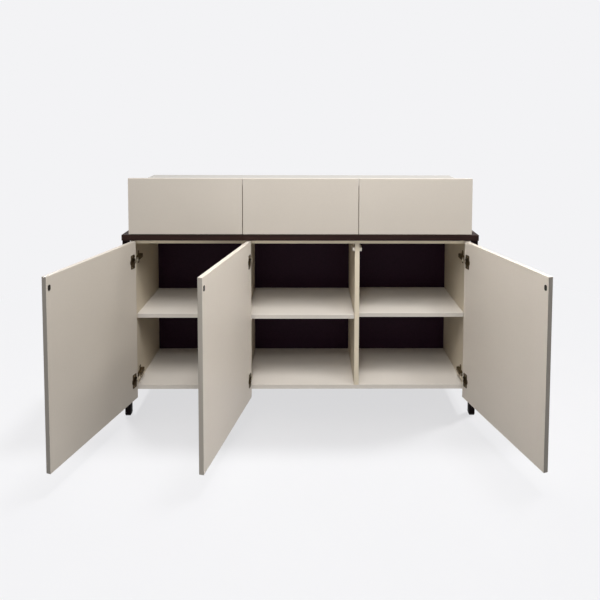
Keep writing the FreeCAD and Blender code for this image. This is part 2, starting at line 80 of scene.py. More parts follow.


# ---------------------------------------------------------------------------
# surfaces
# ---------------------------------------------------------------------------
class Surface:
    """Meshes worked out as whole numpy arrays."""

    @staticmethod
    def quads(rows: int, columns: int, close_rows: bool = False, close_columns: bool = False) -> np.ndarray:
        """Faces of a grid of points, row after row.

        Each face joins the points (i, j), (i, j+1), (i+1, j+1) and (i+1, j),
        where the point (i, j) has the number i * columns + j.

        Args:
            rows: number of rows of points.
            columns: number of points in a row.
            close_rows: join the last row to the first.
            close_columns: join each row's last point to its first.

        Returns:
            An array of four point numbers for each face.
        """
        i = np.arange(rows if close_rows else rows - 1)[:, None]
        j = np.arange(columns if close_columns else columns - 1)[None, :]
        i2 = (i + 1) % rows
        j2 = (j + 1) % columns
        faces = np.stack([i * columns + j, i * columns + j2, i2 * columns + j2, i2 * columns + j], axis=-1)
        return faces.reshape(-1, 4)

    @staticmethod
    def capped(rows: int, columns: int) -> list[list[int]]:
        """Faces of a tube of points, closed round each row, with a cap at both ends.

        Args:
            rows: number of rings of points.
            columns: number of points in a ring.

        Returns:
            The point numbers of each face.
        """
        first = list(range(columns))
        last = list(range((rows - 1) * columns, rows * columns))
        return Surface.quads(rows, columns, close_columns=True).tolist() + [first, last]

    @staticmethod
    def merge(parts: Sequence[Part]) -> Part:
        """Several point and face lists as one.

        Args:
            parts: pairs of an (n, 3) array of points and a list of faces.

        Returns:
            The points in one array, and the faces with their numbers moved on.
        """
        points = []
        faces = []
        count = 0
        for vertices, polygons in parts:
            points.append(vertices)
            faces.extend([[int(number) + count for number in polygon] for polygon in polygons])
            count += len(vertices)
        return np.concatenate(points), faces

    @staticmethod
    def lathe(profile: np.ndarray, segments: int, ring: bool = False) -> Part:
        """A profile turned round the z axis.

        The point for the profile's (r, h) at the angle a is
        (r * cos(a), r * sin(a), h).

        Args:
            profile: (n, 2) radii and heights.
            segments: number of steps round the axis.
            ring: the profile is a closed loop; otherwise both ends are capped.

        Returns:
            Points and faces.
        """
        angle = np.arange(segments) * (2 * math.pi / segments)
        radius = profile[:, 0, None]
        height = np.repeat(profile[:, 1, None], segments, axis=1)
        points = np.stack([radius * np.cos(angle), radius * np.sin(angle), height], axis=-1).reshape(-1, 3)
        if ring:
            return points, Surface.quads(len(profile), segments, True, True).tolist()
        return points, Surface.capped(len(profile), segments)

    @staticmethod
    def placed(part: Part, origin: Vec, normal: Vec, turn: float = 0.0) -> Part:
        """A part moved so that its own z axis points along a normal.

        Args:
            part: points and faces made round the z axis.
            origin: where the part's origin goes.
            normal: the direction of its z axis.
            turn: radians turned about that axis first.

        Returns:
            The moved points and the same faces.
        """
        points, polygons = part
        along = np.asarray(normal, float)
        along = along / np.linalg.norm(along)
        aside = np.array([0.0, 0.0, 1.0]) if abs(along[2]) < 0.5 else np.array([1.0, 0.0, 0.0])
        first = np.cross(aside, along)
        second = np.cross(along, first)
        cos, sin = math.cos(turn), math.sin(turn)
        basis = np.stack([first * cos + second * sin, second * cos - first * sin, along])
        return points @ basis + np.asarray(origin), polygons

    @staticmethod
    def rounded_box(low: Vec, high: Vec, radius: float, steps: int = 3) -> Part:
        """A box whose twelve edges are rounded.

        The point for the two angles u (round) and v (up) is the centre of the
        nearest corner's small ball plus radius times the direction
        (cos v * cos u, cos v * sin u, sin v).

        Args:
            low: one corner of the box.
            high: the opposite corner.
            radius: of the edges, less than half the shortest side.
            steps: divisions of each quarter turn.

        Returns:
            Points and faces.
        """
        corners = np.array([low, high])
        centre = corners.mean(axis=0)
        half = np.ptp(corners, axis=0) / 2
        quarter = np.linspace(0, math.pi / 2, steps + 1)
        u = np.concatenate([quarter + k * math.pi / 2 for k in range(4)])
        v = np.concatenate([quarter - math.pi / 2, quarter])
        sign_x = np.repeat([1, -1, -1, 1], steps + 1)
        sign_y = np.repeat([1, 1, -1, -1], steps + 1)
        sign_z = np.repeat([-1, 1], steps + 1)
        x = sign_x[None, :] * (half[0] - radius) + radius * np.cos(v)[:, None] * np.cos(u)[None, :]
        y = sign_y[None, :] * (half[1] - radius) + radius * np.cos(v)[:, None] * np.sin(u)[None, :]
        z = sign_z[:, None] * (half[2] - radius) + radius * np.sin(v)[:, None] * np.ones_like(u)[None, :]
        points = np.stack([x, y, z], axis=-1).reshape(-1, 3) + centre
        return points, Surface.capped(len(v), len(u))

    @staticmethod
    def sweep(path: np.ndarray, section: np.ndarray, up: Vec, sizes: np.ndarray) -> Part:
        """A closed section carried along a path.

        At each point of the path the section's first coordinate runs along
        the sideways direction, which is the path's direction crossed with
        up, and its second along up.

        Args:
            path: (n, 3) points.
            section: (m, 2) outline.
            up: the direction of the section's second coordinate.
            sizes: (n, 2) factors of the section's two coordinates.

        Returns:
            Points and faces.
        """
        ahead = np.gradient(path, axis=0)
        ahead /= np.linalg.norm(ahead, axis=1)[:, None]
        side = np.cross(ahead, np.asarray(up, float))
        side /= np.linalg.norm(side, axis=1)[:, None]
        over = np.cross(side, ahead)
        outline = section[None, :, :] * sizes[:, None, :]
        points = (path[:, None, :] + outline[:, :, 0, None] * side[:, None, :]
                  + outline[:, :, 1, None] * over[:, None, :]).reshape(-1, 3)
        return points, Surface.capped(len(path), len(section))

    @staticmethod
    def arch(half: float, rise: float, radius: float, sheet: float, steps: int = 5) -> np.ndarray:
        """The section of a bent sheet channel, open below.

        The outer line goes up one leg, round a corner of the given radius,
        across, round the other and down; the inner line comes back one
        sheet's thickness inside it.

        Args:
            half: half the width over the legs.
            rise: height over the top.
            radius: outer radius of the corners.
            sheet: thickness.
            steps: points of each corner.

        Returns:
            (n, 2) points of a closed outline.
        """
        turn = np.linspace(0, math.pi / 2, steps)
        lines = []
        for inset in (0.0, sheet):
            bend = radius - inset
            corner_x = (half - radius) + bend * np.cos(turn)
            corner_y = (rise - radius) + bend * np.sin(turn)
            right = np.stack([corner_x, corner_y], axis=-1)
            left = right[::-1] * np.array([-1.0, 1.0])
            start = np.array([[half - inset, 0.0]])
            end = start * np.array([-1.0, 1.0])
            lines.append(np.concatenate([start, right, left, end]))
        return np.concatenate([lines[0], lines[1][::-1]])

    @staticmethod
    def make(name: str, parts: Sequence[Part]) -> bpy.types.Object:
        """A mesh object with its place in its mesh.

        Args:
            name: the object's name.
            parts: points and faces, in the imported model's frame.

        Returns:
            The linked object, at the origin and unturned.
        """
        points, faces = Surface.merge(parts)
        mesh = bpy.data.meshes.new(name)
        mesh.from_pydata(points.tolist(), [], faces)
        shell = bmesh.new()
        shell.from_mesh(mesh)
        bmesh.ops.remove_doubles(shell, verts=shell.verts, dist=MERGE)
        bmesh.ops.recalc_face_normals(shell, faces=shell.faces)
        shell.to_mesh(mesh)
        shell.free()
        mesh.validate()
        mesh.shade_smooth()
        mesh.set_sharp_from_angle(angle=math.radians(CRISP_ANGLE))
        mesh.update()
        obj = bpy.data.objects.new(name, mesh)
        bpy.context.scene.collection.objects.link(obj)
        return obj


@dataclass(frozen=True)
class ScrewHead:
    """A low domed screw head with a crossed recess, whose sizes are shares of the head's."""

    radius: float
    height: float
    steps: int = 16              # divisions of the grid
    rim: float = 0.45            # how high the dome starts
    recess_half: float = 0.22    # half the width of the recess
    recess_side: float = 0.1     # the slope of its sides, across
    recess_reach: float = 0.72   # how far out it runs
    recess_end: float = 0.2      # the slope of its ends, along
    recess_depth: float = 0.6

    def part(self) -> Part:
        """The head, standing on z = 0.

        The point (u, v) of a square grid from -1 to 1 goes to the disc point
        x = u * sqrt(1 - v^2 / 2), y = v * sqrt(1 - u^2 / 2).  Its height is
        that of a dome, less the recess, which is deepest where x or y is
        small and fades out toward the rim.

        Returns:
            Points and faces, closed underneath.
        """
        line = np.linspace(-1, 1, self.steps + 1)
        u, v = np.meshgrid(line, line, indexing="ij")
        x = u * np.sqrt(1 - v ** 2 / 2)
        y = v * np.sqrt(1 - u ** 2 / 2)
        narrow = np.minimum(np.abs(x), np.abs(y))
        wide = np.maximum(np.abs(x), np.abs(y))
        sides = np.clip((self.recess_half - narrow) / self.recess_side, 0, 1)
        ends = np.clip((self.recess_reach - wide) / self.recess_end, 0, 1)
        dome = self.rim + (1 - self.rim) * np.sqrt(np.clip(1 - np.hypot(x, y) ** 2, 0, 1))
        height = self.height * (dome - self.recess_depth * sides * ends)
        top = np.stack([x * self.radius, y * self.radius, height], axis=-1).reshape(-1, 3)
        count = len(line)
        number = np.arange(count * count).reshape(count, count)
        rim = np.concatenate([number[0, :-1], number[:-1, -1], number[-1, :0:-1], number[:0:-1, 0]])
        foot = top[rim] * np.array([1.0, 1.0, 0.0])
        low = len(top) + np.arange(len(rim))
        faces = Surface.quads(count, count).tolist()
        faces += np.stack([rim, np.roll(rim, -1), np.roll(low, -1), low], axis=-1).tolist()
        faces.append(low[::-1].tolist())
        return np.concatenate([top, foot]), faces

    def at(self, origin: Vec, normal: Vec, turn: float) -> Part:
        """The head on a surface: its foot's middle, the way it faces and its turn in radians."""
        return Surface.placed(self.part(), origin, normal, turn)


# ---------------------------------------------------------------------------
# finishes
# ---------------------------------------------------------------------------
class Blend(StrEnum):
    """How a second colour goes over a first."""

    COVER = "MIX"
    DARKEN = "MULTIPLY"


@dataclass(frozen=True)
class Noise:
    """A noise texture's settings, with its scale per metre."""

    scale: float
    detail: float = 3.0
    roughness: float = 0.5
    distortion: float = 0.0


class Tree:
    """The nodes of a material or of the surroundings, added one at a time."""

    COLOUR_MIX = (0, 6, 7)      # a Mix node's inputs: factor, first and second colour
    COLOUR_RESULT = 2           # and its output

    def __init__(self, owner: bpy.types.ID, output: str = "OutputMaterial") -> None:
        """Start an empty tree that ends in an output.

        Args:
            owner: the material or world that the tree belongs to.
            output: the output node's type name without its prefix.
        """
        owner.use_nodes = True
        self.owner = owner
        self.nodes = owner.node_tree.nodes
        self.links = owner.node_tree.links
        self.nodes.clear()
        self.output = self.add(output)

    def join(self, socket: bpy.types.NodeSocket, value: object) -> None:
        """Link an input to another node's socket, or give it a value.

        Args:
            socket: the input.
            value: a socket or a plain value.
        """
        if isinstance(value, bpy.types.NodeSocket):
            self.links.new(value, socket)
        else:
            socket.default_value = value

    def add(self, kind: str, **inputs: object) -> bpy.types.Node:
        """Add a node.

        Args:
            kind: the node's type name without its "ShaderNode" prefix.
            inputs: values or sockets for inputs, by name with _ for spaces.

        Returns:
            The new node.
        """
        node = self.nodes.new("ShaderNode" + kind)
        for key, value in inputs.items():
            self.join(node.inputs[key.replace("_", " ")], value)
        return node

    def place(self) -> bpy.types.NodeSocket:
        """Coordinates in the object's own frame."""
        return self.add("TexCoord").outputs["Object"]

    def stretched(self, scale: Vec) -> bpy.types.NodeSocket:
        """Object coordinates multiplied by a scale on each axis."""
        return self.add("Mapping", Vector=self.place(), Scale=scale).outputs["Vector"]

    def noise(self, place: bpy.types.NodeSocket, recipe: Noise) -> bpy.types.NodeSocket:
        """Noise on the given coordinates, as a factor."""
        return self.add("TexNoise", Vector=place, Scale=recipe.scale, Detail=recipe.detail,
                        Roughness=recipe.roughness, Distortion=recipe.distortion).outputs["Fac"]

    def ramp(self, factor: bpy.types.NodeSocket,
             stops: Sequence[tuple[float, Vec]]) -> bpy.types.NodeSocket:
        """Colours along a factor.

        Args:
            factor: the socket that runs through the ramp.
            stops: places and linear colours.

        Returns:
            The colour socket.
        """
        node = self.add("ValToRGB", Fac=factor)
        elements = node.color_ramp.elements
        while len(elements) < len(stops):
            elements.new(0.5)
        for element, (place, colour) in zip(elements, stops):
            element.position = place
            element.color = opaque(colour)
        return node.outputs["Color"]

    def span(self, factor: bpy.types.NodeSocket, low: float, high: float) -> bpy.types.NodeSocket:
        """The factor's 0 to 1 mapped to low to high."""
        return self.add("MapRange", Value=factor, To_Min=low, To_Max=high).outputs["Result"]

    def calculated(self, operation: str, first: object, second: object) -> bpy.types.NodeSocket:
        """The result of a calculation.

        Args:
            operation: a Math node's name for it.
            first: a socket or a number.
            second: a socket or a number.

        Returns:
            The result's socket.
        """
        node = self.add("Math")
        node.operation = operation
        self.join(node.inputs[0], first)
        self.join(node.inputs[1], second)
        return node.outputs[0]

    def mixed(self, factor: object, first: object, second: object,
              blend: Blend = Blend.COVER) -> bpy.types.NodeSocket:
        """One colour over another.

        Args:
            factor: how much of the second shows, a socket or a number.
            first: the lower colour.
            second: the upper colour.
            blend: how it goes over.

        Returns:
            The mixed colour.
        """
        node = self.add("Mix")
        node.data_type = "RGBA"
        node.blend_type = blend.value
        for number, value in zip(self.COLOUR_MIX, (factor, first, second)):
            self.join(node.inputs[number], value)
        return node.outputs[self.COLOUR_RESULT]

    def blended(self, factor: object, first: bpy.types.Node, second: bpy.types.Node) -> bpy.types.Node:
        """Two shaders as one.

        Args:
            factor: how much of the second shows, a socket or a number.
            first: a shader.
            second: a shader.

        Returns:
            The shader that mixes them.
        """
        node = self.add("MixShader", Fac=factor)
        self.join(node.inputs[1], first.outputs[0])
        self.join(node.inputs[2], second.outputs[0])
        return node

    def bump(self, height: bpy.types.NodeSocket, strength: float, distance: float,
             below: bpy.types.NodeSocket | None = None) -> bpy.types.NodeSocket:
        """A bump from a height.

        Args:
            height: the height's socket.
            strength: its share, up to 1.
            distance: the height of a 1, in metres.
            below: another bump that it lies over.

        Returns:
            The bumped normal.
        """
        node = self.add("Bump", Height=height, Strength=strength, Distance=distance)
        if below is not None:
            self.join(node.inputs["Normal"], below)
        return node.outputs["Normal"]

    def finish(self, shader: bpy.types.Node) -> bpy.types.ID:
        """Join a shader to the output and return the tree's owner."""
        self.join(self.output.inputs["Surface"], shader.outputs[0])
        return self.owner

    def coated(self, colour: bpy.types.NodeSocket, roughness: bpy.types.NodeSocket,
               normal: bpy.types.NodeSocket, specular: float = 0.5, metallic: float = 0.0) -> bpy.types.ID:
        """Finish the tree with an ordinary surface.

        Args:
            colour: its base colour.
            roughness: its roughness.
            normal: its bumped normal.
            specular: the strength of its reflection, 0.5 for common coatings.
            metallic: 1 for a metal.

        Returns:
            The tree's owner.
        """
        return self.finish(self.add("BsdfPrincipled", Base_Color=colour, Roughness=roughness, Normal=normal,
                                    Specular_IOR_Level=specular, Metallic=metallic))


def linear(red: float, green: float, blue: float) -> Colour:
    """A colour given as screen values from 0 to 255, in linear light.

    Args:
        red: the first value.
        green: the second.
        blue: the third.

    Returns:
        The three values from 0 to 1, by the sRGB curve.
    """
    values = np.asarray([red, green, blue], float) / 255
    light = np.where(values <= 0.04045, values / 12.92, ((values + 0.055) / 1.055) ** 2.4)
    return tuple(float(value) for value in light)


def tinted(colour: Vec, factor: float) -> Colour:
    """A colour made lighter or darker by a factor."""
    return tuple(min(1.0, value * factor) for value in colour)


def opaque(colour: Vec) -> tuple[float, ...]:
    """A colour with the fourth value that sockets want."""
    return (*colour, 1.0)


@dataclass(frozen=True)
class PaintedEdge:
    """A strip of painted light or painted shade on the side of a board that lies furthest along a
    direction.
    """

    way: tuple[float, float, float]
    reach: float                # how far along the direction the edge lies
    paint_gain: float                 # the painted strip's colour over the board's: above 1 painted light, below 1 painted shade
    thickness: float = 0.0005

    def over(self, tree: Tree, colour: bpy.types.NodeSocket, base: Vec) -> bpy.types.NodeSocket:
        """The board's colour, with the painted light or shade within its thickness of the edge.

        Args:
            tree: the material's nodes.
            colour: the board's own colour.
            base: the same as numbers.

        Returns:
            The mixed colour.
        """
        along = tree.add("VectorMath")
        along.operation = "DOT_PRODUCT"
        tree.join(along.inputs[0], tree.place())
        tree.join(along.inputs[1], self.way)
        beyond = tree.calculated("GREATER_THAN", along.outputs["Value"], self.reach - self.thickness)
        return tree.mixed(beyond, colour, opaque(tinted(base, self.paint_gain)))


@dataclass(frozen=True)
class Lacquer:
    """A sprayed or laminated board: near-even colour, a very fine skin, faint clouding."""

    name: str
    colour: Colour
    roughness: float = 0.42
    cloud: float = 0.035             # how far the colour strays to both sides
    skin_scale: float = 900.0
    skin_depth: float = 0.00004
    specular: float = 0.4
    # painted light or painted shade on one edge, or none
    painted_edge: PaintedEdge | None = None
    broad: Noise = Noise(2.2, 4.0, 0.55)
    fine: Noise = Noise(140.0, 2.0, 0.6)
    fine_share: float = 0.3
    gloss: Noise = Noise(9.0)
    gloss_range: float = 0.06
    wave: Noise = Noise(30.0, 1.0)
    wave_strength: float = 0.25
    wave_depth: float = 0.0002
    skin_strength: float = 0.35

    def material(self) -> bpy.types.Material:
        """Build the material.

        Colour: the base times 1 - cloud to 1 + cloud, by a broad noise mixed
        with a finer one, and a strip of painted light or shade on one edge where there is one.
        Bump: an orange-peel noise over a slow waviness.

        Returns:
            The new material.
        """
        tree = Tree(bpy.data.materials.new(self.name))
        place = tree.stretched((1, 1, 1))
        mix = tree.add("Mix", Factor=self.fine_share, A=tree.noise(place, self.broad),
                       B=tree.noise(place, self.fine))
        colour = tree.ramp(mix.outputs[0], [(0.3, tinted(self.colour, 1 - self.cloud)),
                                            (0.5, self.colour),
                                            (0.7, tinted(self.colour, 1 + self.cloud))])
        if self.painted_edge is not None:
            colour = self.painted_edge.over(tree, colour, self.colour)
        rough = tree.span(tree.noise(place, self.gloss), self.roughness - self.gloss_range,
                          self.roughness + self.gloss_range)
        wave = tree.bump(tree.noise(place, self.wave), self.wave_strength, self.wave_depth)
        skin = tree.bump(tree.noise(place, Noise(self.skin_scale, 1.0)), self.skin_strength,
                         self.skin_depth, wave)
        return tree.coated(colour, rough, skin, self.specular)


@dataclass(frozen=True)
class Veneer:
    """Dark open-pored wood: long streaks and short pores along x."""

    name: str
    dark: Colour
    light: Colour
    roughness: float = 0.38
    specular: float = 0.5
    squeeze: tuple[float, float, float] = (0.03, 1.0, 1.0)      # of the coordinates
    streak: Noise = Noise(90.0, 6.0, 0.62, 0.6)
    middle_shade: float = 0.75       # the middle streaks over the light ones
    pore: Noise = Noise(620.0, 2.0)
    pore_shade: tuple[float, float] = (0.55, 1.25)
    pore_strength: float = 0.35
    pore_depth: float = 0.00012
    gloss_range: tuple[float, float] = (0.08, 0.1)      # glossier and duller

    def material(self) -> bpy.types.Material:
        """Build the material.

        Streaks are a noise on coordinates squeezed along the grain, which
        draws it out about 33 times; pores are a finer noise drawn out alike,
        which shades the streaks in short dashes.

        Returns:
            The new material.
        """
        tree = Tree(bpy.data.materials.new(self.name))
        place = tree.stretched(self.squeeze)
        streak = tree.noise(place, self.streak)
        pore = tree.noise(place, self.pore)
        colour = tree.ramp(streak, [(0.32, self.dark),
                                    (0.52, tinted(self.light, self.middle_shade)),
                                    (0.72, self.light)])
        shaded = tree.mixed(1.0, colour, tree.span(pore, *self.pore_shade), Blend.DARKEN)
        rough = tree.span(streak, self.roughness - self.gloss_range[0],
                          self.roughness + self.gloss_range[1])
        normal = tree.bump(pore, self.pore_strength, self.pore_depth)
        return tree.coated(shaded, rough, normal, self.specular)


@dataclass(frozen=True)
class Hardboard:
    """Thin pressed board: short crossing fibres, matt."""

    name: str
    colour: Colour
    roughness: float = 0.6
    specular: float = 0.2
    fibre: Noise = Noise(260.0, 3.0, 0.6)
    upright: tuple[float, float, float] = (1.0, 1.0, 0.25)
    level: tuple[float, float, float] = (0.25, 1.0, 1.0)
    stray: float = 0.25              # how far the colour strays to both sides
    fibre_strength: float = 0.3
    fibre_depth: float = 0.0001
    gloss_range: float = 0.08

    def material(self) -> bpy.types.Material:
        """Build the material: upright and level fibre noises, mixed, vary colour and bump.

        Returns:
            The new material.
        """
        tree = Tree(bpy.data.materials.new(self.name))
        first = tree.noise(tree.stretched(self.upright), self.fibre)
        second = tree.noise(tree.stretched(self.level), self.fibre)
        mix = tree.add("Mix", Factor=0.5, A=first, B=second)
        colour = tree.ramp(mix.outputs[0], [(0.35, tinted(self.colour, 1 - self.stray)),
                                            (0.65, tinted(self.colour, 1 + self.stray))])
        normal = tree.bump(mix.outputs[0], self.fibre_strength, self.fibre_depth)
        rough = tree.span(first, self.roughness - self.gloss_range, self.roughness + self.gloss_range)
        return tree.coated(colour, rough, normal, self.specular)


@dataclass(frozen=True)
class Metal:
    """Plated, rolled or powder-coated metal."""

    name: str
    colour: Colour
    roughness: float = 0.3
    metallic: float = 1.0
    grain_scale: float = 700.0
    grain_depth: float = 0.00003
    drawn: tuple[float, float, float] = (1.0, 1.0, 1.0)     # below 1 draws the texture out
    specular: float = 0.5
    cloud: Noise = Noise(60.0, 4.0, 0.6)
    cloud_shade: tuple[float, float] = (0.86, 1.1)
    grain_strength: float = 0.4
    gloss_range: tuple[float, float] = (0.08, 0.1)      # glossier and duller
    glossiest: float = 0.05

    def material(self) -> bpy.types.Material:
        """Build the material: fine grain in bump, slow clouding in colour and gloss.

        Returns:
            The new material.
        """
        tree = Tree(bpy.data.materials.new(self.name))
        place = tree.stretched(self.drawn)
        cloud = tree.noise(place, self.cloud)
        grain = tree.noise(place, Noise(self.grain_scale, 2.0, 0.6))
        dark, light = (tinted(self.colour, shade) for shade in self.cloud_shade)
        colour = tree.ramp(cloud, [(0.3, dark), (0.7, light)])
        rough = tree.span(cloud, max(self.glossiest, self.roughness - self.gloss_range[0]),
                          self.roughness + self.gloss_range[1])
        normal = tree.bump(grain, self.grain_strength, self.grain_depth)
        return tree.coated(colour, rough, normal, self.specular, self.metallic)


@dataclass(frozen=True)
class Moulded:
    """Injection-moulded plastic with a fine spark texture."""

    name: str
    colour: Colour
    roughness: float = 0.45
    spark: Noise = Noise(1500.0, 2.0, 0.7)
    spark_strength: float = 0.3
    spark_depth: float = 0.00004
    flow: Noise = Noise(45.0, 3.0, 0.5, 1.0)
    flow_shade: tuple[float, float] = (0.94, 1.04)
    gloss_range: float = 0.07

    def material(self) -> bpy.types.Material:
        """Build the material: speckled bump, slight flow marks in the gloss.

        Returns:
            The new material.
        """
        tree = Tree(bpy.data.materials.new(self.name))
        place = tree.stretched((1, 1, 1))
        flow = tree.noise(place, self.flow)
        dark, light = (tinted(self.colour, shade) for shade in self.flow_shade)
        colour = tree.ramp(flow, [(0.3, dark), (0.7, light)])
        rough = tree.span(flow, self.roughness - self.gloss_range, self.roughness + self.gloss_range)
        normal = tree.bump(tree.noise(place, self.spark), self.spark_strength, self.spark_depth)
        return tree.coated(colour, rough, normal)


def board(name: str, colour: Colour, front_painted_light: float | None = None) -> Lacquer:
    """The lacquer of the cream boards.

    Args:
        name: the material's name.
        colour: the board's colour.
        front_painted_light: the colour of a strip of painted light on the front edge over the board's, or
            none.

    Returns:
        The finish.
    """
    # painted light: the front edge lighter than the rest of the board
    painted_edge = None if front_painted_light is None else PaintedEdge((0.0, -1.0, 0.0), -FRONT_EDGE, front_painted_light)
    return Lacquer(name, colour, roughness=0.46, cloud=0.03, skin_scale=700.0, painted_edge=painted_edge)


def nickel(name: str, colour: Colour, roughness: float, metallic: float) -> Metal:
    """Smooth plated steel, as on the hinges."""
    return Metal(name, colour, roughness, metallic, grain_scale=500.0, grain_depth=0.00002)


class Finish(Enum):
    """Every finish on the credenza; a value holds the slot and the recipe."""

    FRONT = ("cream_front", Lacquer("cream_front", linear(206, 197, 185), roughness=0.4))
    # warm copy of the cream board: painted warm shade for the sides and dividers inside the bays, with
    # painted light on their front edges
    BOARD = ("cream_board", board("cream_board", linear(210, 198, 177), front_painted_light=1.25))
    # copy of the board with stronger painted light on its front edge, the rail in the slab's shade
    RAIL = ("cream_board", board("cream_rail", linear(210, 198, 174), front_painted_light=1.4))
    # darker copy of the cream board: painted shade on the box top
    TOP = ("cream_board", board("cream_top", linear(186, 182, 175)))
    # lighter, more neutral copy of the same board: painted light on the lit shelves and bottom
    SHELF = ("cream_board", board("cream_shelf", linear(214, 207, 198)))
    SLAB = ("dark_veneer", Veneer("dark_veneer", linear(30, 16, 15), linear(55, 36, 31),
                                  roughness=0.5, specular=0.12))
    LEG = ("dark_metal", Metal("dark_metal", linear(17, 9, 10), roughness=0.5, metallic=0.0,
                               grain_scale=900.0, grain_depth=0.00005, specular=0.04))
    BACK = ("dark_back", Hardboard("dark_back", linear(36, 15, 31), specular=0.12))
    DRAWER = ("drawer_board", Lacquer("drawer_board", linear(214, 205, 190), roughness=0.5, cloud=0.05,
                                      skin_scale=500.0))
    ZINC = ("zinc", Metal("zinc", linear(196, 198, 200), roughness=0.34, grain_scale=900.0,
                          drawn=(1.0, 0.05, 1.0)))
    CUP = ("nickel", nickel("nickel_cup", linear(78, 64, 44), roughness=0.5, metallic=0.7))
    COVER = ("nickel", nickel("nickel_cover", linear(92, 76, 50), roughness=0.48, metallic=0.7))
    ARM = ("nickel", nickel("nickel_arm", linear(208, 198, 180), roughness=0.36, metallic=0.9))
    SCREW = ("nickel", Metal("nickel_screw", linear(112, 98, 74), roughness=0.42, metallic=0.8))
    STEEL = ("steel", Metal("steel", linear(190, 190, 188), roughness=0.32))
    STRIKE = ("dark_steel", Metal("dark_steel", linear(46, 42, 38), roughness=0.4, metallic=0.6))
    WHITE = ("white_plastic", Moulded("white_plastic", linear(228, 221, 211)))
    BLACK = ("black_plastic", Moulded("black_plastic", linear(34, 32, 31), roughness=0.55))


class Workshop:
    """Makes each material once and dresses nodes and new pieces."""

    def __init__(self) -> None:
        """Start with no materials made."""
        self.made: dict[Finish, bpy.types.Material] = {}
        self.count = 0

    def material(self, finish: Finish) -> bpy.types.Material:
        """The finish's material, made the first time it is asked for.

        Args:
            finish: which finish.

        Returns:
            Its one material.
        """
        if finish not in self.made:
            self.made[finish] = finish.value[1].material()
        return self.made[finish]

    @staticmethod
    def coat(obj: bpy.types.Object, material: bpy.types.Material) -> None:
        """Give an object one material all over."""
        obj.data.materials.clear()
        obj.data.materials.append(material)

    def with_painted_edge(self, obj: bpy.types.Object, finish: Finish, painted_edge: PaintedEdge) -> None:
        """Give an object a lacquer of its own, with painted light or shade on one edge.

        Args:
            obj: the object.
            finish: the lacquer that it starts from.
            painted_edge: the strip of painted light or shade.
        """
        slot, lacquer = finish.value
        self.coat(obj, replace(lacquer, name="%s_%s" % (slot, obj.name), painted_edge=painted_edge).material())

    def nodes(self, names: Iterable[str], finish: Finish) -> None:
        """Dress carried-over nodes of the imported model."""
        for name in names:
            self.coat(frame["nodes"][name], self.material(finish))

    def piece(self, name: str, parts: Sequence[Part], finish: Finish, body: str) -> bpy.types.Object:
        """Make a new piece that rides on a body.

        Args:
            name: the piece's name.
            parts: its points and faces.
            finish: what it is dressed in.
            body: the body it moves with.

        Returns:
            The object.
        """
        obj = Surface.make(name, parts)
        self.coat(obj, self.material(finish))
        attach(obj, body)
        self.count += 1
        LOG.info("piece %s on %s: %d faces", name, body, len(obj.data.polygons))
        return obj


# ---------------------------------------------------------------------------
# the studio
# ---------------------------------------------------------------------------
class Listing(StrEnum):
    """What a list of objects tells a light."""

    ONLY_THESE = "INCLUDE"
    ALL_BUT_THESE = "EXCLUDE"


@dataclass(frozen=True)
class SoftLight:
    """A square or oblong area light that points at a spot, straight down if none is given."""

    name: str
    place: tuple[float, float, float]
    power: float
    size: tuple[float, float] = (0.4, 0.4)
    target: tuple[float, float, float] | None = None
    only: str = ""                  # the one node it reaches, or every piece

    def make(self) -> bpy.types.Object:
        """Add the light to the scene, turned to its target.

        Returns:
            The light's object.
        """
        data = bpy.data.lights.new(self.name, "AREA")
        data.shape = "RECTANGLE"
        data.size, data.size_y = self.size
        data.energy = self.power
        obj = bpy.data.objects.new(self.name, data)
        bpy.context.scene.collection.objects.link(obj)
        obj.location = self.place
        target = self.target or (*self.place[:2], 0.0)
        x, y, z = np.asarray(target) - np.asarray(self.place)
        obj.rotation_euler = (math.atan2(math.hypot(x, y), -z), 0.0, math.atan2(-x, y))
        return obj


@dataclass(frozen=True)
class FloorLight:
    """A wide, distant light for the floor alone, which gives it an even tone and the piece's shadow."""

    name: str
    slope: tuple[float, float]      # where it stands, across and behind for each metre up
    strength: float
    past_doors: bool = True         # the doors throw no shadow in it
    spread: float = 7.0             # degrees

    def make(self) -> bpy.types.Object:
        """Add the light to the scene, tilted by its slope.

        Returns:
            The light's object.
        """
        data = bpy.data.lights.new(self.name, "SUN")
        data.energy = self.strength
        data.angle = math.radians(self.spread)
        obj = bpy.data.objects.new(self.name, data)
        bpy.context.scene.collection.objects.link(obj)
        x, y = self.slope
        obj.rotation_euler = (math.atan(math.hypot(x, y)), 0.0, math.atan2(x, -y))
        return obj


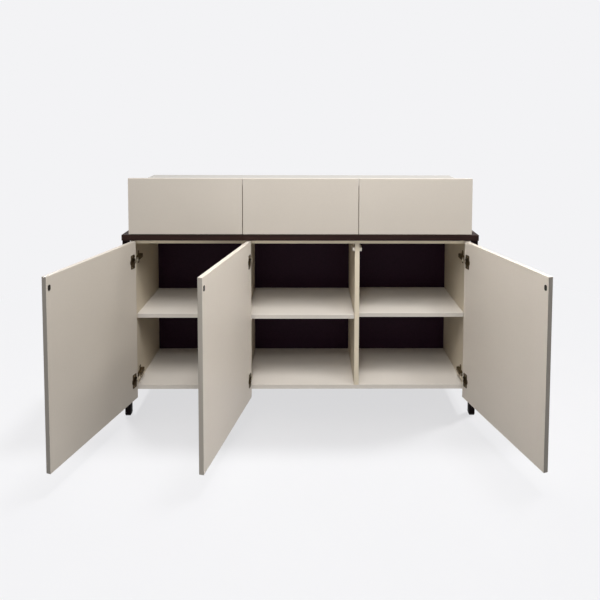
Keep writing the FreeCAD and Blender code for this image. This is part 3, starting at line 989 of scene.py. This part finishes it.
@dataclass
class Studio:
    """Camera, floor, backdrop and lights."""

    focal_px: float = 506.646
    frame_px: float = 600.0
    centre_px: tuple[float, float] = (313.163, 135.175)     # the optical axis, across and down
    sensor_mm: float = 36.0
    clip: tuple[float, float] = (0.05, 200.0)
    camera_place: tuple[float, float, float] = (0.03822, -2.13202, 1.35697)
    camera_turn: tuple[float, float, float] = (87.052, -0.155, -0.393)      # degrees
    backdrop: Colour = linear(243, 243, 245)
    ambient: float = 0.07           # the surroundings' strength as a lamp
    floor_half: float = 40.0
    floor_glow: float = 0.74        # the share of the floor's tone that shadows don't reach
    floor_fade: tuple[float, float] = (1.3, 2.6)    # metres out, where the floor takes the backdrop's tone
    floor_return: float = 0.32      # how much of a pale floor's light comes back up
    floor_cloud: Noise = Noise(6.0)
    floor_shade: float = 0.985      # the floor's darker spots over the backdrop
    floor_lights: tuple[FloorLight, ...] = (
        FloorLight("floor_right", (0.45, 0.23), 1.4),
        FloorLight("floor_left", (-0.15, 0.23), 1.2),
        FloorLight("floor_high", (0.2, 0.1), 0.6, past_doors=False, spread=10.0),
    )
    lights: tuple[SoftLight, ...] = (
        SoftLight("behind_left", (-0.6, 0.6, 3.0), 7.7),
        SoftLight("behind_centre", (0.5, 0.6, 3.0), 3.2),
        SoftLight("behind_right", (1.6, 0.6, 3.0), 15.9),
        SoftLight("over_left", (-0.8, -0.7, 3.4), 6.5),
        SoftLight("over_centre", (0.3, -0.7, 2.6), 14.3),
        SoftLight("over_high", (0.3, -0.7, 3.4), 4.9),
        SoftLight("over_right", (1.5, -0.7, 2.6), 16.7),
        SoftLight("middle_left", (-0.45, -1.1, 2.6), 13.8),
        SoftLight("middle_centre", (0.3, -1.1, 2.6), 5.6),
        SoftLight("middle_right", (1.1, -1.1, 2.6), 4.2),
        SoftLight("front_near", (-0.1, -1.5, 2.6), 6.9),
        SoftLight("front_right", (1.5, -1.5, 2.6), 2.2),
        SoftLight("front_far", (-0.1, -1.9, 2.6), 16.4),
        SoftLight("low", (0.0, -2.2, 0.15), 3.0, (2.4, 0.2), (0.0, 0.0, 0.5)),
        SoftLight("fill_rail", (0.0, -3.0, 0.75), 11.0, (2.0, 0.3), (0.0, 0.0, 0.75), "carcass_top"),
        SoftLight("fill_bottom", (0.2, -3.0, 1.0), 13.0, (2.0, 0.3), (0.2, 0.0, 0.1), "carcass_bottom"),
        SoftLight("fill_middle", (1.4, -1.0, 1.5), 6.5, (0.6, 0.6), (-0.3, -0.4, 0.4), "door_middle"),
        SoftLight("fill_right", (-1.4, -1.2, 1.6), 0.3, (0.6, 0.6), (0.8, -0.3, 0.3), "door_right"),
        SoftLight("rear_left", (-2.6, 1.6, 1.05), 52.0, (1.0, 0.8), (0.0, 0.0, 0.5)),
        SoftLight("rear_right", (2.6, 1.6, 1.05), 52.0, (1.0, 0.8), (0.0, 0.0, 0.5)),
    )

    def camera(self) -> None:
        """Add the camera, its lens shifted so that the optical axis meets the frame at the centre given."""
        data = bpy.data.cameras.new("camera")
        data.sensor_width = self.sensor_mm
        data.lens = self.focal_px / self.frame_px * self.sensor_mm
        half = self.frame_px / 2
        data.shift_x = (half - self.centre_px[0]) / self.frame_px
        data.shift_y = (self.centre_px[1] - half) / self.frame_px
        data.clip_start, data.clip_end = self.clip
        obj = bpy.data.objects.new("camera", data)
        bpy.context.scene.collection.objects.link(obj)
        obj.location = self.camera_place
        obj.rotation_euler = tuple(math.radians(angle) for angle in self.camera_turn)
        bpy.context.scene.camera = obj

    def world(self) -> None:
        """Even pale surroundings for the eye and for reflections, dimmer as a lamp."""
        world = bpy.data.worlds.new("studio")
        bpy.context.scene.world = world
        tree = Tree(world, "OutputWorld")
        lamp = tree.add("Background", Color=(1.0, 1.0, 1.0, 1.0), Strength=self.ambient)
        seen = tree.add("Background", Color=opaque(self.backdrop))
        tree.finish(tree.blended(self.direct_rays(tree), lamp, seen))

    @staticmethod
    def direct_rays(tree: Tree) -> bpy.types.NodeSocket:
        """One for rays from the camera, a reflection or through glass, else zero.

        Args:
            tree: where its nodes go.

        Returns:
            The number's socket.
        """
        rays = tree.add("LightPath").outputs
        first = tree.calculated("MAXIMUM", rays["Is Camera Ray"], rays["Is Glossy Ray"])
        return tree.calculated("MAXIMUM", first, rays["Is Transmission Ray"])

    def floor_material(self) -> bpy.types.Material:
        """The floor's material.

        Seen directly, a matt floor mixed with a glow, so that shadows stay
        light, which fades into the glow alone farther out.  To the light
        that falls on it and goes on to the piece, a darker matt floor.

        Returns:
            The new material.
        """
        tree = Tree(bpy.data.materials.new("floor"))
        place = tree.place()
        cloud = tree.ramp(tree.noise(place, self.floor_cloud),
                          [(0.3, tinted(self.backdrop, self.floor_shade)), (0.7, self.backdrop)])
        matt = tree.add("BsdfDiffuse", Color=cloud)
        glow = tree.add("Emission", Color=opaque(self.backdrop))
        near = tree.blended(self.floor_glow, matt, glow)
        reach = tree.add("VectorMath", Vector=place)
        reach.operation = "LENGTH"
        low, high = self.floor_fade
        fade = tree.add("MapRange", Value=reach.outputs["Value"], From_Min=low, From_Max=high)
        fade.interpolation_type = "SMOOTHERSTEP"
        seen = tree.blended(fade.outputs[0], near, glow)
        dim = tree.add("BsdfDiffuse", Color=opaque(tinted(self.backdrop, self.floor_return)))
        return tree.finish(tree.blended(self.direct_rays(tree), dim, seen))

    def floor(self) -> bpy.types.Object:
        """A wide pale floor, as light as the backdrop, that keeps the shadow.

        Returns:
            The floor's object.
        """
        half = self.floor_half
        corners = np.array([[-half, -half, 0], [half, -half, 0], [half, half, 0], [-half, half, 0]])
        obj = Surface.make("floor", [(corners, [[0, 1, 2, 3]])])
        obj.data.materials.append(self.floor_material())
        return obj

    @staticmethod
    def listed(name: str, objects: Iterable[bpy.types.Object], listing: Listing) -> bpy.types.Collection:
        """A list of objects for a light.

        Args:
            name: the list's name.
            objects: what is on it.
            listing: what the list means.

        Returns:
            The list as a collection outside the scene.
        """
        collection = bpy.data.collections.new(name)
        for obj in objects:
            collection.objects.link(obj)
        for entry in collection.collection_objects:
            entry.light_linking.link_state = listing.value
        return collection

    def build(self) -> None:
        """Set the studio up.

        The soft lights pass the floor by, and the floor's lights reach it
        alone, so that its shadow and the light on the piece are set apart.
        """
        bpy.context.scene.view_settings.view_transform = "Standard"
        self.camera()
        self.world()
        floor = self.floor()
        piece = self.listed("all_but_floor", [floor], Listing.ALL_BUT_THESE)
        for light in self.lights:
            reached = piece
            if light.only:
                node = frame["nodes"][light.only]
                reached = self.listed(light.name + "_reach", [node], Listing.ONLY_THESE)
            light.make().light_linking.receiver_collection = reached
        only = self.listed("floor_only", [floor], Listing.ONLY_THESE)
        leaves = [frame["nodes"]["door_" + bay] for bay in Bay]
        doors = self.listed("all_but_doors", leaves, Listing.ALL_BUT_THESE)
        for light in self.floor_lights:
            obj = light.make()
            obj.light_linking.receiver_collection = only
            if light.past_doors:
                obj.light_linking.blocker_collection = doors


# ---------------------------------------------------------------------------
# the credenza
# ---------------------------------------------------------------------------
def ring_profile(inner: float, outer: float, low: float, high: float, steps: int = 6) -> np.ndarray:
    """A closed loop for a rolled ring: flat below, half an ellipse above.

    Args:
        inner: the ring's inner radius.
        outer: its outer radius.
        low: height of the flat underside.
        high: height of the crown.
        steps: divisions of the ellipse.

    Returns:
        (n, 2) radii and heights.
    """
    angle = np.linspace(0, math.pi, steps * 2 + 1)
    middle = (inner + outer) / 2
    half = (outer - inner) / 2
    return np.stack([middle + half * np.cos(angle), low + (high - low) * np.sin(angle)], axis=-1)


def dome_profile(radius: float, height: float, steps: int = 4) -> np.ndarray:
    """A quarter ellipse from the foot's radius up, cut short for a small flat at the crown.

    Args:
        radius: of the foot.
        height: of the crown.
        steps: divisions of the ellipse.

    Returns:
        (n, 2) radii and heights.
    """
    angle = np.linspace(0, math.radians(DOME_TURN), steps + 1)
    return np.stack([radius * np.cos(angle), height * np.sin(angle)], axis=-1)


@dataclass
class Cabinet:
    """Slab, legs, cupboard and upper box."""

    shop: Workshop
    nail_spacing: float = 0.12       # rounded so that whole steps fit
    nail_radius: float = 0.0022
    nail_rise: float = 0.0006
    nail_inset: float = 0.007
    nail_sides: int = 12
    runner_space: float = 0.0118     # a bay's wall to the web of the drawer's runner
    rail_sheet: float = 0.0012
    rail_screws: int = 3
    rail_screw: ScrewHead = ScrewHead(0.0034, 0.0014)
    screw_from_front: float = 0.04   # the rail's ends to its first and last screws
    screw_from_back: float = 0.03
    screw_turn: float = 0.3          # radians, at y = 0; each screw stands a little otherwise
    bumper_radius: float = 0.004
    bumper_height: float = 0.0035
    bumper_behind: float = 0.012     # the rail's end to the bumper's middle
    bumper_sides: int = 20

    def dress(self) -> None:
        """Finish every fixed node."""
        nodes = self.shop.nodes
        nodes(["slab"], Finish.SLAB)
        nodes(["leg_front_left", "leg_front_right", "leg_back_left", "leg_back_right"], Finish.LEG)
        nodes(["leg_glides"], Finish.BLACK)
        nodes(["slab_screws", "carcass_screws", "box_screws", "shelf_pins"], Finish.STEEL)
        # lit and shaded copies of one cream board: painted shade on the sides, dividers and box top,
        # painted light on the rail, shelves and bottom
        nodes(["carcass_side_left", "carcass_side_right", "divider_left", "divider_right"], Finish.BOARD)
        nodes(["box_side_left", "box_side_right", "box_divider_left", "box_divider_right"], Finish.BOARD)
        nodes(["carcass_top"], Finish.RAIL)
        nodes(["box_top"], Finish.TOP)
        nodes(["carcass_bottom"] + ["shelf_" + bay for bay in Bay], Finish.SHELF)
        nodes(["back_panel", "box_back"], Finish.BACK)
        nodes(["runner_rails"], Finish.ZINC)
        nodes(["hinge_plates"], Finish.COVER)
        nodes(["hinge_arms"], Finish.ARM)
        nodes(["latch_bodies"], Finish.WHITE)

    def nails(self, node: str) -> None:
        """Small round nail heads round the edge of a back panel, on its outer face.

        Args:
            node: the panel.
        """
        low, high = BOXES[node]
        head = Surface.lathe(dome_profile(self.nail_radius, self.nail_rise), self.nail_sides)
        x0, x1 = low[0] + self.nail_inset, high[0] - self.nail_inset
        z0, z1 = low[2] + self.nail_inset, high[2] - self.nail_inset
        across = np.linspace(x0, x1, round((x1 - x0) / self.nail_spacing) + 1)
        up = np.linspace(z0, z1, round((z1 - z0) / self.nail_spacing) + 1)[1:-1]
        spots = [(x, z) for x in across for z in (z0, z1)]
        spots += [(x, z) for z in up for x in (x0, x1)]
        parts = [Surface.placed(head, (x, high[1], z), (0, 1, 0)) for x, z in spots]
        self.shop.piece(node + "_nails", parts, Finish.STEEL, CABINET_BODY)

    def runner_fittings(self) -> None:
        """Crossed screws in the fixed rails, and a rubber bumper behind each."""
        front, back = BOXES["runner_rails"][0][1], BOXES["runner_rails"][1][1]
        spots = np.linspace(front + self.screw_from_front, back - self.screw_from_back, self.rail_screws)
        bumper = Surface.lathe(dome_profile(self.bumper_radius, self.bumper_height), self.bumper_sides)
        screws, bumpers = [], []
        for bay in Bay:
            low, high = BOXES["runner_drawer_" + bay]
            z = (low[2] + high[2]) / 2
            for wall, way in ((low[0] - self.runner_space, 1), (high[0] + self.runner_space, -1)):
                x = wall + way * self.rail_sheet
                screws += [self.rail_screw.at((x, y, z), (way, 0, 0), self.screw_turn + y) for y in spots]
                bumpers.append(Surface.placed(bumper, (wall, back + self.bumper_behind, z), (way, 0, 0)))
        self.shop.piece("runner_rail_screws", screws, Finish.STEEL, CABINET_BODY)
        self.shop.piece("runner_bumpers", bumpers, Finish.BLACK, CABINET_BODY)

    def build(self) -> None:
        """Dress the nodes and add what is too small for them."""
        self.dress()
        for node in ("back_panel", "box_back"):
            self.nails(node)
        self.runner_fittings()


@dataclass
class Drawer:
    """One drawer of the upper box."""

    shop: Workshop
    bay: Bay
    wall: float = 0.012              # the box's front wall
    screw: ScrewHead = ScrewHead(0.0045, 0.0018)
    screw_inset: float = 0.06        # from the box's sides
    screw_rise: float = 0.035        # from its top and bottom

    @property
    def body(self) -> str:
        """The body that the drawer moves as."""
        return "drawer_unit_" + self.bay

    def dress(self) -> None:
        """Finish the drawer's nodes."""
        self.shop.nodes(["drawer_%s_front" % self.bay], Finish.FRONT)
        self.shop.nodes(["drawer_%s_box" % self.bay, "drawer_%s_bottom" % self.bay], Finish.DRAWER)
        self.shop.nodes(["runner_middle_" + self.bay, "runner_drawer_" + self.bay], Finish.ZINC)

    def build(self) -> None:
        """Dress the drawer and add the screws that hold its front, inside the box."""
        self.dress()
        low, high = BOXES["drawer_%s_box" % self.bay]
        spots = [(x, z) for x in (low[0] + self.screw_inset, high[0] - self.screw_inset)
                 for z in (low[2] + self.screw_rise, high[2] - self.screw_rise)]
        screws = [self.screw.at((x, low[1] + self.wall, z), (0, 1, 0), x + z) for x, z in spots]
        self.shop.piece("drawer_%s_screws" % self.bay, screws, Finish.STEEL, self.body)


@dataclass(frozen=True)
class Hinge:
    """A kind of concealed hinge and its trim.

    Wall, axis and cup are measured across from the closed door's hinge edge.
    """

    wall: float                      # the wall that the arm is on
    seat: float                      # the mounting plate's thickness
    axis_across: float
    axis_front: float                # the axis in front of the door's inner face
    cup_across: float = 0.022
    cup_radius: float = 0.0167
    cup_height: float = 0.061        # the wings' height
    wing: float = 0.0012             # their thickness
    cup_screw_up: float = 0.0235     # the cup's middle to a screw, up or down
    cup_screw_across: float = 0.0045     # the same across, away from the edge
    cup_screw_turn: float = 0.4      # at z = 0; each stands a little otherwise
    rim_play: float = 0.0002         # the cup to its rolled rim
    rim_outer: float = 0.0184
    rim_sink: float = 0.0002
    rim_rise: float = 0.0007
    rim_sides: int = 56
    screw: ScrewHead = ScrewHead(0.0036, 0.0012)
    arm_front: float = 0.014         # the cover's ends, behind the cupboard's front edges
    arm_back: float = 0.068
    cover_half: float = 0.0095
    cover_rise: float = 0.0075       # over the mounting plate
    cover_bend: float = 0.003
    cover_sheet: float = 0.0011
    cover_nose: tuple[float, float] = (0.82, 0.86)      # the front's width and rise over the full ones
    cover_flare: tuple[float, float] = (0.1, 0.4)       # where it widens, as shares of its length
    cover_points: int = 15
    cover_screws: tuple[float, float] = (0.5, 0.84)     # shares of its length
    cover_screw_turn: float = 0.5    # radians, as for the other screws
    plate_middle: float = 0.046      # the plate's screws, behind the front edges
    plate_screw_up: float = 0.0215
    plate_screw_turn: float = 0.2
    plate_face: float = 0.002        # how far the plate's wings stand off the wall

    def rim(self) -> Part:
        """The cup's rolled rim, round the z axis.

        Returns:
            Points and faces.
        """
        inner = self.cup_radius + self.rim_play
        return Surface.lathe(ring_profile(inner, self.rim_outer, -self.rim_sink, self.rim_rise),
                             self.rim_sides, ring=True)

    def cover(self, wall: float, z: float, way: int) -> Part:
        """A bent channel over the arm.

        Its arched section is swept backwards along the wall; over the flare
        its width and rise grow by the smooth curve t * t * (3 - 2 * t).

        Args:
            wall: the wall's x.
            z: the arm's height.
            way: 1 where it stands off the wall along +x, or -1.

        Returns:
            Points and faces.
        """
        along = np.linspace(0, 1, self.cover_points)
        start, end = self.cover_flare
        ease = np.clip((along - start) / (end - start), 0, 1)
        ease = ease * ease * (3 - 2 * ease)
        nose = np.array(self.cover_nose)
        sizes = nose + (1 - nose) * ease[:, None]
        y = FRONT_EDGE + self.arm_front + (self.arm_back - self.arm_front) * along
        path = np.stack([np.full_like(y, wall), y, np.full_like(y, z)], axis=-1)
        rise = self.seat + self.cover_rise
        section = Surface.arch(self.cover_half, rise, self.cover_bend, self.cover_sheet)
        return Surface.sweep(path, section, (way, 0, 0), sizes)

    def arm_screws(self, wall: float, z: float, way: int) -> list[Part]:
        """The two screws on the cover and the two in the mounting plate.

        Args:
            wall: the wall's x.
            z: the arm's height.
            way: 1 where the arm stands off the wall along +x, or -1.

        Returns:
            The heads.
        """
        out = (way, 0, 0)
        x = wall + way * (self.seat + self.cover_rise)
        heads = []
        for share in self.cover_screws:
            y = FRONT_EDGE + self.arm_front + (self.arm_back - self.arm_front) * share
            heads.append(self.screw.at((x, y, z), out, self.cover_screw_turn))
        x = wall + way * self.plate_face
        y = FRONT_EDGE + self.plate_middle
        for side in (-1, 1):
            place = (x, y, z + side * self.plate_screw_up)
            heads.append(self.screw.at(place, out, self.plate_screw_turn))
        return heads


OUTER_HINGE = Hinge(wall=0.017, seat=0.006, axis_across=0.0095, axis_front=0.0165)
INNER_HINGE = Hinge(wall=0.0085, seat=0.003, axis_across=0.0119, axis_front=0.0175)


@dataclass(frozen=True)
class Strike:
    """The trim of a strike plate with round ends."""

    rise: float = 0.0015             # the plate's face over the door's
    half: float = 0.0055             # half its width
    end: float = 0.005               # its middle to the middle of a round end
    bead: float = 0.0005             # the raised edge's half width
    bead_rise: float = 0.0003
    bead_sides: int = 8
    end_points: int = 13
    screw_up: float = 0.0068
    screw_turn: float = 0.7
    screw: ScrewHead = ScrewHead(0.0022, 0.0007, steps=12)

    def edge(self, x: float, y: float, z: float) -> Part:
        """A raised edge round the plate.

        A thin oval section is swept along the plate's outline, two straights
        joined by half circles.  Each point of the section goes sideways by
        bead * cos(b) and up by bead_rise * sin(b), with b the angle round it.

        Args:
            x: the plate's middle.
            y: its face.
            z: its middle.

        Returns:
            Points and faces.
        """
        angle = np.linspace(0, math.pi, self.end_points)
        bend = self.half - self.bead
        top = np.stack([bend * np.cos(angle), self.end + bend * np.sin(angle)], axis=-1)
        loop = np.concatenate([top, -top])
        ahead = np.roll(loop, -1, axis=0) - np.roll(loop, 1, axis=0)
        beside = np.stack([ahead[:, 1], -ahead[:, 0]], axis=-1)
        beside /= np.linalg.norm(beside, axis=1)[:, None]
        turn = np.arange(self.bead_sides) * (2 * math.pi / self.bead_sides)
        across = loop[:, None, :] + beside[:, None, :] * (self.bead * np.cos(turn))[None, :, None]
        rise = np.broadcast_to(self.bead_rise * np.sin(turn), across.shape[:2])
        points = np.stack([x + across[..., 0], y + rise, z + across[..., 1]], axis=-1).reshape(-1, 3)
        return points, Surface.quads(len(loop), len(turn), True, True).tolist()

    def screws(self, x: float, y: float, z: float) -> list[Part]:
        """Its two small screws, for the plate's middle at (x, z) and its face at y."""
        return [self.screw.at((x, y, z + side * self.screw_up), (0, 1, 0), self.screw_turn)
                for side in (-1, 1)]


@dataclass
class Door:
    """One door with its hinges and its strike."""

    shop: Workshop
    bay: Bay
    strike: Strike = Strike()

    def __post_init__(self) -> None:
        """Work out the door's turning axis, its rest angle and where its hinges are."""
        joint = JOINTS["door_%s_hinge" % self.bay]
        self.hinge = INNER_HINGE if self.bay is Bay.MIDDLE else OUTER_HINGE
        self.way = -1 if self.bay is Bay.RIGHT else 1
        self.axis = np.asarray(joint["pos_m"])
        self.swing = self.way * math.radians(joint["range_deg"][0])
        self.edge = self.axis[0] - self.way * self.hinge.axis_across
        self.face = self.axis[1] + self.hinge.axis_front
        low, high = BOXES["hinge_cups_" + self.bay]
        half = self.hinge.cup_height / 2
        self.heights = (low[2] + half, high[2] - half)

    @property
    def body(self) -> str:
        """The body that the door moves as."""
        return "door_leaf_" + self.bay

    def opened(self, parts: Sequence[Part]) -> list[Part]:
        """Parts made on the closed door, turned to where the door stands.

        A point at (x, y) from the axis goes to (x cos a - y sin a,
        x sin a + y cos a), with a the swing.

        Args:
            parts: points and faces.

        Returns:
            The turned points and the same faces.
        """
        cos, sin = math.cos(self.swing), math.sin(self.swing)
        turn = np.array([[cos, sin, 0], [-sin, cos, 0], [0, 0, 1]])
        return [((points - self.axis) @ turn + self.axis, faces) for points, faces in parts]

    def dress(self) -> None:
        """Finish the door's nodes, the leaf with painted shade on its free edge."""
        leaf = frame["nodes"]["door_" + self.bay]
        free = (self.way * math.cos(self.swing), self.way * math.sin(self.swing), 0.0)
        points = np.array([vertex.co for vertex in leaf.data.vertices])
        reach = float((points @ np.array(free)).max())
        # painted shade: the door's free edge darker than its face
        self.shop.with_painted_edge(leaf, Finish.FRONT, PaintedEdge(free, reach, FREE_EDGE_PAINTED_SHADE[self.bay]))
        self.shop.nodes(["hinge_cups_" + self.bay], Finish.CUP)
        self.shop.nodes(["hinge_links_" + self.bay], Finish.ARM)
        self.shop.nodes(["strike_" + self.bay], Finish.STRIKE)

    def cup_fittings(self) -> None:
        """Rolled rims and crossed screws on the two hinge cups."""
        hinge = self.hinge
        x = self.edge + self.way * hinge.cup_across
        y = self.face + hinge.wing
        rims = [Surface.placed(hinge.rim(), (x, y, z), (0, 1, 0)) for z in self.heights]
        x += self.way * hinge.cup_screw_across
        screws = [hinge.screw.at((x, y, z + side * hinge.cup_screw_up), (0, 1, 0), hinge.cup_screw_turn + z)
                  for z in self.heights for side in (-1, 1)]
        self.shop.piece("hinge_cup_rims_" + self.bay, self.opened(rims), Finish.CUP, self.body)
        self.shop.piece("hinge_cup_screws_" + self.bay, self.opened(screws), Finish.SCREW, self.body)

    def arm_covers(self) -> None:
        """The covers of the two hinge arms, and the screws there."""
        wall = self.edge + self.way * self.hinge.wall
        covers = [self.hinge.cover(wall, z, self.way) for z in self.heights]
        screws = [head for z in self.heights for head in self.hinge.arm_screws(wall, z, self.way)]
        self.shop.piece("hinge_arm_covers_" + self.bay, covers, Finish.COVER, CABINET_BODY)
        self.shop.piece("hinge_arm_screws_" + self.bay, screws, Finish.SCREW, CABINET_BODY)

    def strike_fittings(self) -> None:
        """The strike's raised edge and screws, level with the latch that it meets."""
        low, high = BOXES["latch_plunger_" + self.bay]
        middle = ((low[0] + high[0]) / 2, self.face + self.strike.rise, (low[2] + high[2]) / 2)
        edge = self.opened([self.strike.edge(*middle)])
        self.shop.piece("strike_edge_" + self.bay, edge, Finish.STRIKE, self.body)
        screws = self.opened(self.strike.screws(*middle))
        self.shop.piece("strike_screws_" + self.bay, screws, Finish.STRIKE, self.body)

    def build(self) -> None:
        """Dress the door and fit its small parts."""
        self.dress()
        self.cup_fittings()
        self.arm_covers()
        self.strike_fittings()


@dataclass
class Latch:
    """One push latch: its collar, its fixing lug and its plunger's tip."""

    shop: Workshop
    bay: Bay
    half: float = 0.005              # half the latch's width: its middle to the divider
    collar_inner: float = 0.0036
    collar_outer: float = 0.0048
    collar_sink: float = 0.0002
    collar_rise: float = 0.0009
    collar_sides: int = 40
    lug_front: float = 0.016         # behind the cupboard's front edges
    lug_back: float = 0.044
    lug_half: float = 0.0145
    lug_sheet: float = 0.0022
    lug_radius: float = 0.0009
    screw: ScrewHead = ScrewHead(0.0028, 0.001)
    screw_up: float = 0.0108
    screw_turn: float = 0.6
    pad_radius: float = 0.0028
    pad_rise: float = 0.00015
    pad_sides: int = 32

    def __post_init__(self) -> None:
        """Find the plunger's middle and tip, and the side that the latch is fixed to."""
        low, high = BOXES["latch_plunger_" + self.bay]
        self.x = (low[0] + high[0]) / 2
        self.z = (low[2] + high[2]) / 2
        self.tip = low[1]
        self.way = 1 if self.bay is Bay.RIGHT else -1
        self.wall = self.x - self.way * self.half

    def collar(self) -> Part:
        """The ring round the plunger, on the latch's front.

        Returns:
            Points and faces.
        """
        profile = ring_profile(self.collar_inner, self.collar_outer, -self.collar_sink, self.collar_rise)
        ring = Surface.lathe(profile, self.collar_sides, ring=True)
        return Surface.placed(ring, (self.x, FRONT_EDGE, self.z), (0, -1, 0))

    def lug(self) -> Part:
        """The fixing lug, a rounded plate on the wall.

        Returns:
            Points and faces.
        """
        low = (self.wall, FRONT_EDGE + self.lug_front, self.z - self.lug_half)
        high = (self.wall + self.way * self.lug_sheet, FRONT_EDGE + self.lug_back, self.z + self.lug_half)
        return Surface.rounded_box(low, high, self.lug_radius)

    def screws(self) -> list[Part]:
        """The two screws in the lug.

        Returns:
            The heads.
        """
        x = self.wall + self.way * self.lug_sheet
        y = FRONT_EDGE + (self.lug_front + self.lug_back) / 2
        return [self.screw.at((x, y, self.z + side * self.screw_up), (self.way, 0, 0), self.screw_turn)
                for side in (-1, 1)]

    def pad(self) -> Part:
        """The low dome on the plunger's tip."""
        dome = Surface.lathe(dome_profile(self.pad_radius, self.pad_rise), self.pad_sides)
        return Surface.placed(dome, (self.x, self.tip, self.z), (0, -1, 0))

    def build(self) -> None:
        """Dress the plunger, then add the collar, the lug, its screws and the tip's pad."""
        shop = self.shop
        shop.nodes(["latch_plunger_" + self.bay], Finish.WHITE)
        shop.piece("latch_collar_" + self.bay, [self.collar()], Finish.WHITE, CABINET_BODY)
        shop.piece("latch_lug_" + self.bay, [self.lug()], Finish.WHITE, CABINET_BODY)
        shop.piece("latch_screws_" + self.bay, self.screws(), Finish.STEEL, CABINET_BODY)
        shop.piece("latch_tip_pad_" + self.bay, [self.pad()], Finish.WHITE, "latch_tip_" + self.bay)


def main() -> None:
    """Build the studio, then each sub-assembly in order."""
    logging.basicConfig(level=logging.INFO, format="%(name)s: %(message)s")
    Studio().build()
    shop = Workshop()
    Cabinet(shop).build()
    for bay in Bay:
        Drawer(shop, bay).build()
        Door(shop, bay).build()
        Latch(shop, bay).build()
    LOG.info("%d new pieces, %d finishes", shop.count, len(shop.made))


if __name__ == "__main__":
    main()
